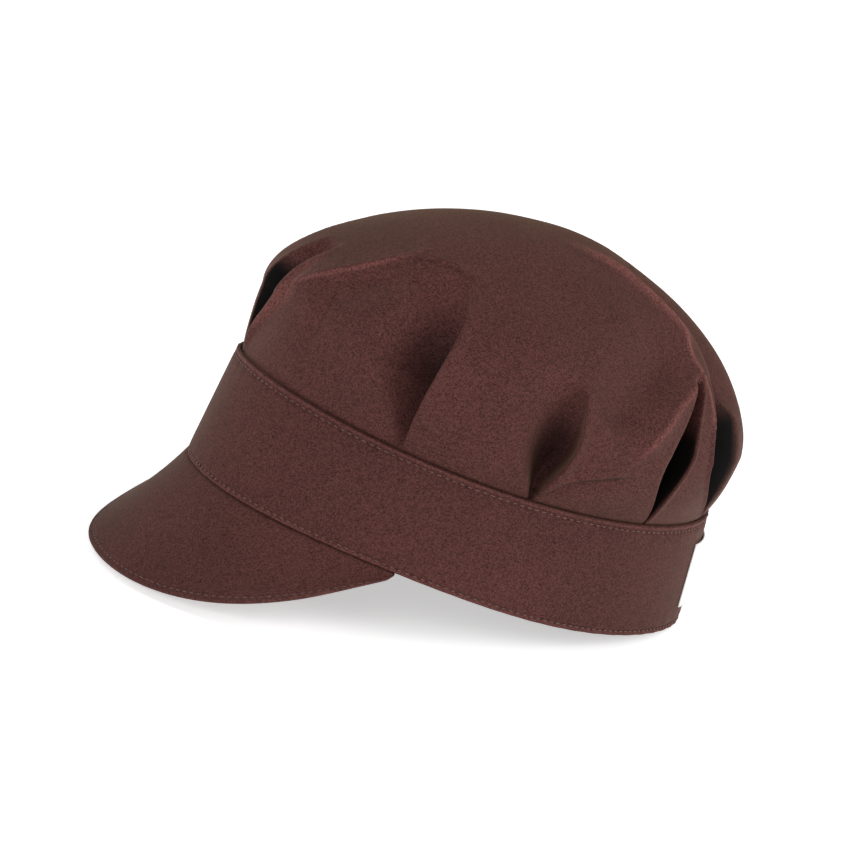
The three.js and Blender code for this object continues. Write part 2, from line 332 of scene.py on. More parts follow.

# %% [markdown]
# ## One pleat at one climb
#
# The section is stretched to the pleat's widths and sunk by its depth, which swells and fades
# again along its reach. A pleat is narrow where it leaves the band, and past its upper end its
# columns are spread out evenly, so that the smooth top of the crown has no thin faces. With each
# place goes how much painted shade blackens the cloth's colour in the pocket there.

# %% Lay out one pleat
foot_width = 0.12
soft_widest = 0.42
narrows = 0.45, 0.85
evens_out = 0.75, 1.2
lip_from = 0.8
black_from = 0.25
closes_over = 16


def smooth_row(knots, steps):
    """Catmull-Rom through the knots, so that the section bends without corners."""
    padded = np.vstack([2 * knots[0] - knots[1], knots, 2 * knots[-1] - knots[-2]])
    place = np.linspace(0, len(knots) - 1, steps)
    index = np.minimum(place.astype(int), len(knots) - 2)
    t = (place - index)[:, None]
    before, start, end, after = (padded[index + shift] for shift in range(4))
    return 0.5 * (
        2 * start
        + (end - before) * t
        + (2 * before - 5 * start + 4 * end - after) * t ** 2
        + (3 * start - before - 3 * end + after) * t ** 3
    )


smooth_section = smooth_row(section, section_steps)


def pleat_open(pleat, climb):
    run = min(max(climb / pleat["reach"], 0), 1)
    return math.sin(math.pi * run ** (math.log(0.5) / math.log(pleat["deepest"])))


def pleat_row(pleat, climb):
    """Angles, depths and painted shade across one pleat at one climb."""
    run = min(max(climb / pleat["reach"], 0), 1)
    middle = mix(pleat["foot"], pleat["head"], run) + pleat["bow"] * math.sin(math.pi * run)
    reach = pleat["reach"]
    top = mix(1, pleat["top"], ease(climb, reach * narrows[0], reach * narrows[1]))
    wide = mix(foot_width, 1, ease(climb, 0, reach * soft_widest)) * top
    crisp_wide = mix(foot_width, 1, ease(climb, 0, reach * pleat["widest"])) * top
    opened = pleat_open(pleat, climb)
    share = dict(zip(section_columns, smooth_section.T))
    across = share["soft"] * pleat["soft"] * wide + share["crisp"] * pleat["crisp"] * crisp_wide
    across = across + share["under"] * pleat["under"] * opened * wide + share["roll"] * pleat["roll"]
    even = np.linspace(across[0], across[-1], section_steps)
    across = mix(across, even, ease(climb, reach * evens_out[0], reach * evens_out[1]))
    sunk = (share["depth"] * pleat["depth"] - share["proud"] * pleat["proud"]) * opened
    # Painted shade: deep in the pocket the cloth's colour is darkened towards black in place of its
    # shadow.
    dark = np.where(share["crisp"] > lip_from, pleat["lip"], pleat["dark"])
    shade = ease(share["depth"] * opened / dark, black_from, 1)
    shade *= 1 - ease(climb, pleat["closes"] - closes_over, pleat["closes"])
    made = np.array([middle + pleat["facing"] * across / mm_per_degree, sunk, shade])
    return made if pleat["facing"] > 0 else made[:, ::-1]


# %% [markdown]
# ## All round the crown at one climb
#
# Pleats and panels take turns round the crown. A panel has as many columns as its step asks for.
# Where two pleats grew into each other the panel between them would turn inside out, so the
# narrowest that each one gets is kept, and printed once the crown is made.

# %% Lay out one row of the crown
fewest_columns = 4


def crown_row(climb):
    """Angles, depths and shades all round the crown at one climb, pleats and panels in turn."""
    rows = [pleat_row(pleat, climb) for pleat in pleats]
    parts = []
    for index, row in enumerate(rows):
        last = row[0, -1]
        following = rows[(index + 1) % len(rows)][0, 0] + (360 if index + 1 == len(rows) else 0)
        tightest[index] = min(tightest[index], following - last)
        panel = np.zeros((3, panel_counts[index] - 1))
        panel[0] = mix(last, following, np.arange(1, panel_counts[index]) / panel_counts[index])
        parts += [row, panel]
    around = np.concatenate(parts, axis=1)
    closing = around[:, :1] + [[360], [0], [0]]
    return np.concatenate([around, closing], axis=1)


def panel_count(index):
    here = pleats[index]
    following = pleats[(index + 1) % len(pleats)]
    gap = (following["foot"] - here["foot"]) % 360
    return max(fewest_columns, round(gap / here["step"]))


panel_counts = [panel_count(index) for index in range(len(pleats))]
tightest = [360.0] * len(pleats)

# %% [markdown]
# ## Folds that aren't pleats
#
# Between the pleats the cloth has broad rolls, dips and a few thin creases, where it is pulled or
# has slack. Each row of this table is a line drawn on the dome through pairs of angle and climb,
# and the cloth is raised along it by height, or sunk where that is below 0. Left and right are how
# far this reaches on either side, looking along the line from outside, and a crease is sharp where
# a roll is round. Step is what the right side gets of the height: a negative step lets the cloth
# drop past the crease, as where it overlaps. Begin and end are the shares of the line between
# which the fold has its full height. Along some crests the colour is painted lighter as a highlight:
# shine is how much lighter, or, below 0, how much darker as painted shade in the crease, and line
# is half the width of that. A row without height is only such a painted line of light.

# %% The table of folds
folds = [
    dict(path=[(-84, 38), (-79, 49), (-70, 65), (-63, 78.5), (-57, 91.5), (-52, 103)],
         height=2.2, left=14, right=4, crease=True, begin=0.4, end=0.5),
    dict(path=[(-82, 42), (-79, 49), (-70, 65), (-63, 78.5), (-57, 91.5), (-52, 103)],
         height=1.0, left=3, right=2.5, crease=True, step=-0.3, begin=0.3, end=0.6, shine=0.6),
    dict(path=[(-74, 47), (-66, 60), (-58, 72), (-49, 78), (-34, 82)],
         height=-2.9, left=6, right=11, begin=0.35),
    dict(path=[(-58, 87), (-48.5, 90.5), (-37.5, 89), (-28, 85)],
         height=1.4, left=9, right=3, crease=True, step=-0.2, shine=-0.2),
    dict(path=[(-69, 63), (-66, 46), (-67, 28), (-70, 14)],
         height=-1.3, left=2.5, right=7, crease=True, begin=0.3, shine=-0.16),
    dict(path=[(-34, 40), (-29, 54), (-20, 62), (-10, 62), (-2, 53)],
         height=1.2, left=12, right=8),
    dict(path=[(-4.5, 2), (-1, 9), (3, 13), (8, 16), (15, 19.5)],
         height=2.2, left=4, right=2, crease=True, step=-0.8, begin=0.06, end=0.8, shine=-0.75),
    dict(path=[(2, 36), (12, 54), (18, 62), (26, 71), (40, 80)],
         height=-5.5, left=12, right=8),
    dict(path=[(12, 22), (15, 35), (18, 42), (23, 52), (30, 60), (42, 72)],
         height=3.4, left=4, right=5, crease=True, end=0.75, shine=0.75, line=2),
    dict(path=[(36.3, 40), (36.5, 60), (37.5, 74), (41, 84), (40, 98), (36, 112), (30, 126)],
         height=2.2, left=9, right=1.8, crease=True, begin=0.15, end=0.75, shine=1.4, line=2.2),
    dict(path=[(44, 76), (42, 88), (38, 102), (33, 116), (26, 130)],
         height=1.1, left=5, right=9, shine=1.1, line=6),
    dict(path=[(-98, 9), (-88.5, 23), (-82, 39), (-80.5, 48.5), (-80.5, 60), (-84, 70.5), (-88, 81)],
         height=0, left=1, right=1, begin=0.1, end=0.8, shine=0.5, line=6),
    dict(path=[(48, 52), (54, 66), (60, 80), (62, 100), (58, 120)],
         height=-5.6, left=8, right=16, end=0.72),
    dict(path=[(214, 50), (230, 64), (250, 84)], height=-2.0, left=12, right=12),
    dict(path=[(172, 44), (166, 60), (150, 78)], height=-2.2, left=10, right=10),
    dict(path=[(138, 60), (136, 84), (128, 110)], height=2.0, left=9, right=9),
]
fold_steps = 40
fold_turn = 0.5
crest_round = 0.5
usual_begin, usual_end = 0.15, 0.7
usual_line = 1.2
shine_reach = 4, 7
far_off = 99.0
print("folds:", len(folds))

# %% [markdown]
# ## How far a fold reaches
#
# The same lines serve for two things: how far the cloth is raised, and where a painted highlight
# or painted shade lies along it. Both follow the distance from the nearest place on the line,
# measured across it, so that the crest comes out smooth although the line is a row of points.

# %% Raise the cloth along the folds


def fold_line(fold):
    knots = np.array(fold["path"], dtype=float)
    return smooth_row(knots, fold_steps)


def outward_from_heart(points):
    heart = np.array([0.0, 0.0, band_height])
    return unit(points - heart)


def fold_relief(points):
    """How far folds raise each place, how near it is to a painted crest highlight, and how strong.

    The nearness is the distance from the crest as a share of its line's half width, and is below 0
    on its right.
    """
    raised = np.zeros(points.shape[:-1])
    beside = np.full(points.shape[:-1], far_off)
    shining = np.zeros(points.shape[:-1])
    for fold in folds:
        line = fold_line(fold)
        on_line = full_shape(np.radians(line[:, 0]), line[:, 1] / cloth_length)
        along = unit(np.gradient(on_line, axis=0))
        leftward = np.cross(outward_from_heart(on_line), along)
        offsets = points[..., None, :] - on_line
        nearest = np.linalg.norm(offsets, axis=-1).argmin(axis=-1)
        offset = np.take_along_axis(offsets, nearest[..., None, None], axis=-2)[..., 0, :]
        across = (offset * leftward[nearest]).sum(axis=-1)
        gap = np.abs(across)
        side = 0.5 + 0.5 * np.tanh(across / fold_turn)
        wide = mix(fold["right"], fold["left"], side)
        share = nearest / (fold_steps - 1)
        fade = ease(share, 0, fold.get("begin", usual_begin))
        fade = fade * (1 - ease(share, fold.get("end", usual_end), 1))
        if fold.get("crease"):
            shape = np.exp((crest_round - np.hypot(gap, crest_round)) / wide)
        else:
            shape = np.exp(-((gap / wide) ** 2))
        raised += fold["height"] * fade * shape * mix(fold.get("step", 1), 1, side)
        # Painted highlight along the crest, or painted shade where shine is below 0.
        strength = fold.get("shine", 0) * fade * (1 - ease(gap, *shine_reach))
        across = across / fold.get("line", usual_line)
        nearer = (strength != 0) & (np.abs(across) < np.abs(beside))
        beside = np.where(nearer, across, beside)
        shining = np.where(nearer, strength, shining)
    return raised, beside, shining


# %% [markdown]
# ## Sewing the crown
#
# The grid of the crown has a column for each step of every pleat's section and of every panel,
# and a row for each step from the hem, tucked inside the band, to the top. On the flat cut the
# crown is a plain disc: the distance from its middle is the way left to the top, and the angle is
# the column's. A slight unevenness keeps the panels from looking turned on a lathe, and a
# Solidify modifier gives the cloth its thickness. Three notes go with each place: how much painted
# shade blackens the pocket, how near the crest of a painted highlight is, and how strong that is.

# %% Make the crown
hem = 8.0
crown_rows = 104
row_crowding = 1.2
cloth_thickness = 0.7
slack = 0.8
slack_scale = 0.035
settled_by = 8


def unevenness(points):
    flat = points.reshape(-1, 3) * slack_scale
    values = np.array([noise.noise(Vector(place)) for place in flat])
    return values.reshape(points.shape[:-1])


hem_angles = np.radians(crown_row(0.0)[0])
columns_round = len(hem_angles)
climbs = cloth_length * (np.arange(crown_rows + 1) / crown_rows) ** row_crowding
crown_points, crown_cut = [], []
# Notes for the painted shade in the pockets and the painted highlights along the folds.
crown_notes = {"painted_pocket_shade": [], "beside_fold": [], "painted_crest_light": []}
cut_angles = np.linspace(0, 2 * math.pi, columns_round)
cut_ring = np.stack([np.cos(cut_angles), np.sin(cut_angles)], axis=-1)
for sink in (hem, hem / 2):
    crown_points.append(band_point(hem_angles, tucked, band_height - sink))
    crown_cut.append((cloth_length + sink) * cut_ring)
    for note in crown_notes.values():
        note.append(np.zeros(columns_round))
for climb in climbs:
    degrees, sunk, shade = crown_row(climb)
    angles = np.radians(degrees)
    dome = full_shape(angles, np.full(columns_round, climb / cloth_length))
    settle = ease(climb, 0, settled_by)
    raised, beside, shining = fold_relief(dome)
    lift = (raised + slack * unevenness(dome)) * settle - sunk
    crown_points.append(dome + outward_from_heart(dome) * lift[:, None])
    for note, values in zip(crown_notes.values(), (shade, beside, shining)):
        note.append(values)
    crown_cut.append((cloth_length - climb) * cut_ring)
crown_points = np.array(crown_points)
crown_points[:, -1] = crown_points[:, 0]
crown_points[-1] = crown_points[-1].mean(axis=0)
crown = lay_cloth("crown_cloth", crown_points, np.array(crown_cut), crown_notes)
thicken(crown, cloth_thickness, -1)
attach(crown, "root")
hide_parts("crown")
print("crown:", columns_round, "columns,", len(crown.data.polygons), "faces")
print("narrowest panels in degrees:", [round(gap, 1) for gap in tightest])

# %% [markdown]
# ## The band
#
# A strip of the same cloth is folded double, so its upper edge is a fold and its lower edge is
# turned in and topstitched. The grid is rolled twice: once round its own section, outside, over
# the top, down the inside and under, and once round the head. Near each row of stitches the cloth
# is drawn in, so the edge beside it stands as a soft bead, and the needle pits it. Along both edges
# the outer face is painted a little lighter, as a highlight.

# %% Make the band
edge_round = 0.7
edge_fine = 3.4
upper_row, lower_row = 2.3, 1.6
stitch_draw = 0.3
stitch_wide = 0.9
stitch_pitch = 2.9
bead_in, bead_wide, bead_draw = 1.3, 0.35, 0.25
band_columns = 816
pit_depth, pit_tall = 0.6, 0.6
pucker_pitch = 9.0
pucker_depth = 0.12
pucker_reach = 5
# Painted highlight along the outer face of both edges: where, how wide and how much lighter.
edge_line, edge_line_wide, edge_shine = 0.8, 0.8, 0.45
edge_reach = 3
corner_steps, bead_steps, side_steps, lining_steps = 5, 9, 24, 14


def bump_at(value, centre, width):
    return np.exp(-(((value - centre) / width) ** 2))


def stitch_groove(rise):
    lower = bump_at(rise, lower_row, stitch_wide)
    upper = bump_at(rise, band_height - upper_row, stitch_wide)
    bead = bump_at(rise, band_height - bead_in, bead_wide)
    return stitch_draw * (lower + upper) + bead_draw * bead


def stitch_count(line_length):
    return int(line_length / stitch_pitch)


def needle_pits(level):
    """How deep the cloth is pinched at each column, deepest at the needle holes of a row."""
    line = band_point(round_angles, 0, np.full_like(round_angles, level))
    run = np.append(0, np.cumsum(np.linalg.norm(np.diff(line, axis=0), axis=1)))
    holes = run / run[-1] * stitch_count(run[-1])
    return pit_depth * (0.5 + 0.5 * np.cos(2 * math.pi * holes)) ** 2


def band_section():
    """Inset and rise round the section, closed, starting under the outer wall."""
    corner = np.linspace(0, math.pi / 2, corner_steps)
    low = np.linspace(edge_round, edge_fine, bead_steps)[1:]
    plain = np.linspace(edge_fine, band_height - edge_fine, side_steps)[1:-1]
    side = np.concatenate([low, plain, band_height - low[::-1]])
    inner_side = np.linspace(band_height - edge_round, edge_round, lining_steps)[1:-1]
    top = band_height - edge_round
    back = band_wall - edge_round
    parts = [
        (edge_round - edge_round * np.sin(corner), edge_round - edge_round * np.cos(corner)),
        (np.zeros_like(side), side),
        (edge_round - edge_round * np.cos(corner), top + edge_round * np.sin(corner)),
        (back + edge_round * np.sin(corner), top + edge_round * np.cos(corner)),
        (np.full_like(inner_side, band_wall), inner_side),
        (back + edge_round * np.cos(corner), edge_round - edge_round * np.sin(corner)),
    ]
    inset = np.concatenate([part[0] for part in parts])
    rise = np.concatenate([part[1] for part in parts])
    return np.append(inset, inset[0]), np.append(rise, rise[0])


inset, rise = band_section()
round_angles = np.linspace(0, 2 * math.pi, band_columns + 1)
outer = inset < band_wall / 2
groove = np.where(outer, stitch_groove(rise), -stitch_groove(rise))
girth = np.cumsum(np.append(0, np.hypot(np.diff(inset), np.diff(rise))))
length_round = round_angles / (2 * math.pi) * band_girth
from_edge = np.minimum(rise, band_height - rise)
near_edge = np.exp(-from_edge / pucker_reach)
lower_pits, upper_pits = needle_pits(lower_row), needle_pits(band_height - upper_row)
band_points = np.empty((len(inset), band_columns + 1, 3))
for row in range(len(inset)):
    pucker = pucker_depth * near_edge[row] * np.sin(length_round / pucker_pitch * 2 * math.pi)
    pits = lower_pits * bump_at(rise[row], lower_row, pit_tall)
    pits = pits + upper_pits * bump_at(rise[row], band_height - upper_row, pit_tall)
    depth = inset[row] + groove[row] + (pucker + pits if outer[row] else 0)
    band_points[row] = band_point(round_angles, depth, np.full(band_columns + 1, rise[row]))
band_points[:, -1] = band_points[:, 0]
whole_band = np.ones(band_columns + 1)
# The outer face near both edges gets a painted highlight.
painted_edge_highlight = outer & (from_edge < edge_reach)
band_notes = {
    "painted_pocket_shade": np.outer(np.zeros_like(rise), whole_band),
    "beside_fold": np.outer((from_edge - edge_line) / edge_line_wide, whole_band),
    "painted_crest_light": np.outer(np.where(painted_edge_highlight, edge_shine, 0), whole_band),
}
band = lay_cloth("band_cloth", band_points, flat_cut(length_round, girth), band_notes)
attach(band, "root")
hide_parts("band")
print("band: girth of its section", girth.max().round(1), "mm")

# %% [markdown]
# ## The peak
#
# The peak is two layers of cloth over a stiffener, bagged out and topstitched a little way in
# from its edge. It slopes down steeply, is a little hollow along its middle, is longest at the
# front and thins out towards its ends. Its seam goes up inside the band. The grid goes from one end
# of the peak to the other and round the section: down the outside, round the edge and back up the
# inside. Place is -1 at the wearer's right end of the peak and 1 at its left end.

# %% Make the peak
peak_half_angle = 64.6
peak_length = 47.6
peak_fullness = 2.4
peak_taper = 1.5
peak_slope = 56.3
peak_side_slope = 5.7
peak_end_slope = -37.5
peak_forward = 0.5
peak_bow = -1.8
peak_wall = 2.3
peak_end_wall = 0.7
peak_seam = 7.0
peak_thins_from = 0.8
peak_shortest = 0.9
peak_columns = 180
peak_stitch_in = 2.4
stitch_fades = 6, 12
last_place = 0.995
evenly = 0.6


def blade_frame(place):
    angle = np.radians(-90 + peak_half_angle * place)
    root = band_point(angle, 0, np.zeros_like(angle))
    sideways = root[:, 0] / half_width ** 2
    lengthways = root[:, 1] / half_length ** 2
    across = unit(np.stack([sideways, lengthways, 0 * angle], axis=-1))
    outward = unit(mix(across, np.array([0.0, -1.0, 0.0]), peak_forward))
    slope = np.radians(peak_slope + peak_side_slope * place ** 2 + peak_end_slope * place ** 4)
    down = outward * np.cos(slope)[:, None]
    down[:, 2] = -np.sin(slope)
    face = outward * np.sin(slope)[:, None]
    face[:, 2] = np.cos(slope)
    full = np.maximum(1 - np.abs(place) ** peak_fullness, 0) ** (1 / peak_taper)
    length = np.maximum(peak_length * full, peak_shortest)
    return angle, root, down, face, length


def blade_point(run, under, place_frame):
    angle, root, down, face, length = place_frame
    bow = 4 * run * (1 - run) * peak_bow * length / peak_length
    return root + down * (run * length)[:, None] + face * (bow - under)[:, None]


crowded = np.sin(np.linspace(-1, 1, peak_columns + 1) * math.pi / 2) * last_place
places = mix(crowded, np.linspace(-last_place, last_place, peak_columns + 1), evenly)
peak_frame = blade_frame(places)
angle, root, down, face, length = peak_frame
blade_wall = mix(peak_wall, peak_end_wall, ease(np.abs(places), peak_thins_from, 1))
edge_radius = blade_wall / 2


def seam_row(inset, rise):
    return band_point(angle, inset, rise + 0 * angle)


def blade_rows(shares, skin):
    """Rows at a distance down the blade, on its outer face at skin 0 and its inner face at 1."""
    made = []
    for share in shares:
        flat_run = share * (1 - edge_radius / length)
        from_edge = (1 - flat_run) * length
        drawn = stitch_draw * np.exp(-(((from_edge - peak_stitch_in) / stitch_wide) ** 2))
        drawn = drawn * ease(length, *stitch_fades)
        level = clearance + drawn if skin == 0 else clearance + blade_wall - drawn
        made.append(blade_point(flat_run, level, peak_frame))
    return made


seam_places = [
    (tucked, peak_seam),
    (tucked, peak_seam / 2),
    (tucked, 0.6),
    (tucked - 0.35, -0.15),
    (tucked - 1.0, -clearance),
    (0.7, -clearance),
]
rows = [seam_row(inset, rise) for inset, rise in seam_places]
blade_shares = np.concatenate([np.linspace(0.03, 0.86, 16), np.linspace(0.88, 1.0, 11)])
rows += blade_rows(blade_shares, 0)
edge_sweeps = np.radians([22, 45, 68, 90, 112, 135, 158])
for sweep in edge_sweeps:
    run = 1 - edge_radius / length + edge_radius * math.sin(sweep) / length
    level = clearance + edge_radius - edge_radius * math.cos(sweep)
    rows.append(blade_point(run, level, peak_frame))
rows += blade_rows(blade_shares[::-1], 1)
rows += [
    seam_row(tucked + blade_wall, -clearance - blade_wall),
    seam_row(tucked + blade_wall, peak_seam / 2),
    seam_row(tucked + blade_wall, peak_seam),
    seam_row(tucked, peak_seam),
]
peak_points = np.array(rows)[::-1]
peak_points[:, 0] = peak_points[:, 0].mean(axis=0)
peak_points[:, -1] = peak_points[:, -1].mean(axis=0)
peak_girth = np.linalg.norm(np.diff(peak_points[:, peak_columns // 2], axis=0), axis=1)
peak_girth = np.append(0, np.cumsum(peak_girth))
peak_run = places * peak_half_angle * mm_per_degree
peak = lay_cloth("peak_cloth", peak_points, flat_cut(peak_run, peak_girth))
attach(peak, "root")
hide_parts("peak")
print("peak:", len(peak.data.polygons), "faces")

# %% [markdown]
# ## The label
#
# A short piece of white woven tape is sewn to the rear left of the band. The grid bows out from
# the band between its two sewn ends, and Solidify makes it as thick as tape.

# %% Make the label
label_from, label_to = 54, 75
label_lower, label_upper = 8.0, 32.0
label_thickness = 0.5
label_lift = 0.25
label_bow = 0.35

label_columns, label_rows = 36, 26
label_angles = np.radians(np.linspace(label_from, label_to, label_columns + 1))
label_rises = np.linspace(label_lower, label_upper, label_rows + 1)
across_share = np.linspace(0, 1, label_columns + 1)
label_points = np.array([
    band_point(
        label_angles,
        -label_lift - label_bow * np.sin(math.pi * across_share) ** 0.5,
        np.full(label_columns + 1, level),
    )
    for level in label_rises
])
label_width = (label_to - label_from) * mm_per_degree
label_cut = flat_cut(across_share * label_width, label_rises - label_lower)
label = lay_cloth("label_tape", label_points, label_cut)
thicken(label, label_thickness, 1)
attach(label, "root")
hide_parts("label")
print("label:", len(label.data.polygons), "faces")

# %% [markdown]
# ## Stitches
#
# One stitch is a short fat thread that dives into the cloth at both ends, so a stretched ball
# is near enough. It is modelled once and repeated along each seam line as one joined mesh, because
# a seam has hundreds of them. The ball's corners come in no fixed order, so they are sorted by
# place, which gives the same mesh each time.

# %% A stitch and the seams
stitch_length = 1.7
stitch_thick = 0.4
thread_proud = 0.05
shortest_sewn = 9
fine_columns = 1440

clear_selection()
bpy.ops.mesh.primitive_uv_sphere_add(segments=8, ring_count=6, radius=0.5)
one_stitch = bpy.context.object
ball = np.array([tuple(vertex.co) for vertex in one_stitch.data.vertices])
by_place = np.lexsort(ball.round(5).T)
stitch_shape = ball[by_place]
sorted_index = np.argsort(by_place).tolist()


def sorted_face(polygon):
    """The polygon's corners in their turn, in the sorted numbering, from the lowest."""
    face = [sorted_index[corner] for corner in polygon.vertices]
    lowest = face.index(min(face))
    return tuple(face[lowest:] + face[:lowest])


stitch_faces = sorted(sorted_face(polygon) for polygon in one_stitch.data.polygons)
bpy.data.objects.remove(one_stitch, do_unlink=True)


def sew(name, line, outward):
    """Stitches evenly along a line of points in the cap's frame, each facing outward."""
    steps = np.append(0, np.cumsum(np.linalg.norm(np.diff(line, axis=0), axis=1)))
    count = stitch_count(steps[-1])
    centres = (np.arange(count) + 0.5) * steps[-1] / count
    middle = np.stack([np.interp(centres, steps, line[:, axis]) for axis in range(3)], axis=-1)
    facing = np.stack([np.interp(centres, steps, outward[:, axis]) for axis in range(3)], axis=-1)
    facing = unit(facing)
    along = unit(np.gradient(middle, axis=0))
    aside = np.cross(facing, along)
    spread = (
        stitch_shape[:, None, 0, None] * stitch_length * along
        + stitch_shape[:, None, 1, None] * stitch_thick * aside
        + stitch_shape[:, None, 2, None] * stitch_thick * facing
    ).transpose(1, 0, 2)
    places = at_rest((middle[:, None, :] + spread).reshape(-1, 3))
    size = len(stitch_shape)
    faces = [
        tuple(corner + size * index for corner in face)
        for index in range(count)
        for face in stitch_faces
    ]
    mesh = bpy.data.meshes.new(name)
    mesh.from_pydata(places.tolist(), [], faces)
    mesh.update()
    seam = bpy.data.objects.new(name, mesh)
    bpy.context.collection.objects.link(seam)
    clear_selection()
    seam.select_set(True)
    bpy.context.view_layer.objects.active = seam
    bpy.ops.object.shade_smooth()
    return seam


def ring_normals(angles):
    return np.stack([np.cos(angles) / half_width, np.sin(angles) / half_length, 0 * angles], axis=-1)


fine_angles = np.linspace(0, 2 * math.pi, fine_columns + 1)
thread_depth = stitch_draw - thread_proud
seams = []
for name, level in (("lower_seam", lower_row), ("upper_seam", band_height - upper_row)):
    line = band_point(fine_angles, thread_depth, np.full_like(fine_angles, level))
    seams.append(sew(name, line, ring_normals(fine_angles)))

sewn = length > shortest_sewn
seam_frame = tuple(value[sewn] for value in peak_frame)
seam_run = 1 - peak_stitch_in / length[sewn]
seam_level = np.full_like(seam_run, clearance + thread_depth)
seams.append(sew("peak_seam", blade_point(seam_run, seam_level, seam_frame), face[sewn]))
for seam in seams:
    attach(seam, "root")
    print(seam.name + ":", len(seam.data.polygons) // len(stitch_faces), "stitches")

# %% [markdown]
# ## Helpers for materials
#
# Every finish here is a Principled shader whose colour is worked out by a few nodes. The helpers
# keep that readable: `feed` links a socket or sets its value, `remap` stretches one range of
# numbers to another, and `blend` mixes or multiplies two colours.

# %% Material helpers


def new_material(name):
    material = bpy.data.materials.new(name)
    material.use_nodes = True
    nodes = material.node_tree.nodes
    nodes.clear()
    output = nodes.new("ShaderNodeOutputMaterial")
    shader = nodes.new("ShaderNodeBsdfPrincipled")
    material.node_tree.links.new(shader.outputs["BSDF"], output.inputs["Surface"])
    return material, nodes, material.node_tree.links, shader


def feed(links, socket, value):
    """Link the socket to an output, or set it to a number or a colour."""
    if isinstance(value, bpy.types.NodeSocket):
        links.new(value, socket)
    else:
        socket.default_value = value


def remap(nodes, links, value, start, end, low, high, smooth=False):
    """What a value becomes when start turns into low and end into high."""
    node = nodes.new("ShaderNodeMapRange")
    if smooth:
        node.interpolation_type = "SMOOTHSTEP"
    for name, number in zip(("From Min", "From Max", "To Min", "To Max"), (start, end, low, high)):
        node.inputs[name].default_value = number
    links.new(value, node.inputs["Value"])
    return node.outputs["Result"]


def blend(nodes, links, factor, low, high, how="MIX"):
    """Two colours mixed by a factor, or multiplied."""
    node = nodes.new("ShaderNodeMix")
    node.data_type = "RGBA"
    node.blend_type = how
    for name, value in (("Factor", factor), ("A", low), ("B", high)):
        feed(links, node.inputs[name], value)
    return node.outputs["Result"]


def noise_texture(nodes, links, place, scale, detail):
    texture = nodes.new("ShaderNodeTexNoise")
    texture.inputs["Scale"].default_value = scale
    texture.inputs["Detail"].default_value = detail
    links.new(place, texture.inputs["Vector"])
    return texture.outputs["Fac"]


def raise_weave(nodes, links, shader, height, strength, distance):
    relief = nodes.new("ShaderNodeBump")
    relief.inputs["Strength"].default_value = strength
    relief.inputs["Distance"].default_value = distance * MM
    links.new(height, relief.inputs["Height"])
    links.new(relief.outputs["Normal"], shader.inputs["Normal"])


def solid(colour, share=1):
    return (*(share * value for value in colour), 1)


def finish_with(piece, material):
    piece.data.materials.clear()
    piece.data.materials.append(material)


# %% [markdown]
# ## Painted shade in the pleats and painted highlights on the folds
#
# Deep in a pleat the cloth's colour is darkened to black as painted shade, and along a pressed fold
# it is painted lighter as a highlight, or darker as painted shade in a crease. Both follow the form
# and stay put when the camera moves, so they are read from the notes on the mesh. Keeping the
# distance to the crest in the note, and not the lightness, lets the line stay finer than the mesh:
# the shader draws it between the vertices.

# %% Shade the folds
# The colour deep in a pleat is multiplied down to this: painted shade.
pocket_shade = 0.01


def paint_fold_light_and_shade(nodes, links, colour):
    """Paint shade into a colour deep in the pleats and a highlight along the pressed folds."""
    notes = []
    for name in ("painted_pocket_shade", "beside_fold", "painted_crest_light"):
        reader = nodes.new("ShaderNodeAttribute")
        reader.attribute_name = name
        notes.append(reader.outputs["Fac"])
    painted_pocket_shade, beside, strength = notes
    painted_pocket_factor = remap(nodes, links, painted_pocket_shade, 0, 1, 1, pocket_shade)
    gap = nodes.new("ShaderNodeMath")
    gap.operation = "ABSOLUTE"
    links.new(beside, gap.inputs[0])
    line = remap(nodes, links, gap.outputs["Value"], 0, 1, 1, 0, smooth=True)
    shine = nodes.new("ShaderNodeMath")
    shine.operation = "MULTIPLY_ADD"
    for socket, value in zip(shine.inputs, (line, strength, painted_pocket_factor)):
        links.new(value, socket)
    return blend(nodes, links, 1.0, colour, shine.outputs["Value"], "MULTIPLY")


# %% [markdown]
# ## Twill
#
# The cloth is a fine diagonal twill with a faint sheen. Its ribs are noise that is drawn out along
# the diagonal on the UV map, which is in metres on the flat cut, so they keep their true size. Real
# yarn is uneven, so small cells of random grey are mixed in, and the same weave gives the relief.
# Broad noise varies the colour a little, as dye and handling do. A regular wave would be simpler,
# but it flickers where the camera is too far off to see each rib.

# %% The twill
yarn_across, yarn_along = 0.4, 1.2
twill_slant = math.radians(58)
grain_size = 0.42
grain_share = 0.6
weave_strength, weave_height = 0.35, 0.15
cloud_scale = 18
cloth_gloss = 0.1
cloth_sheen = 0.08
sheen_tint = (1.0, 0.76, 0.45, 1)


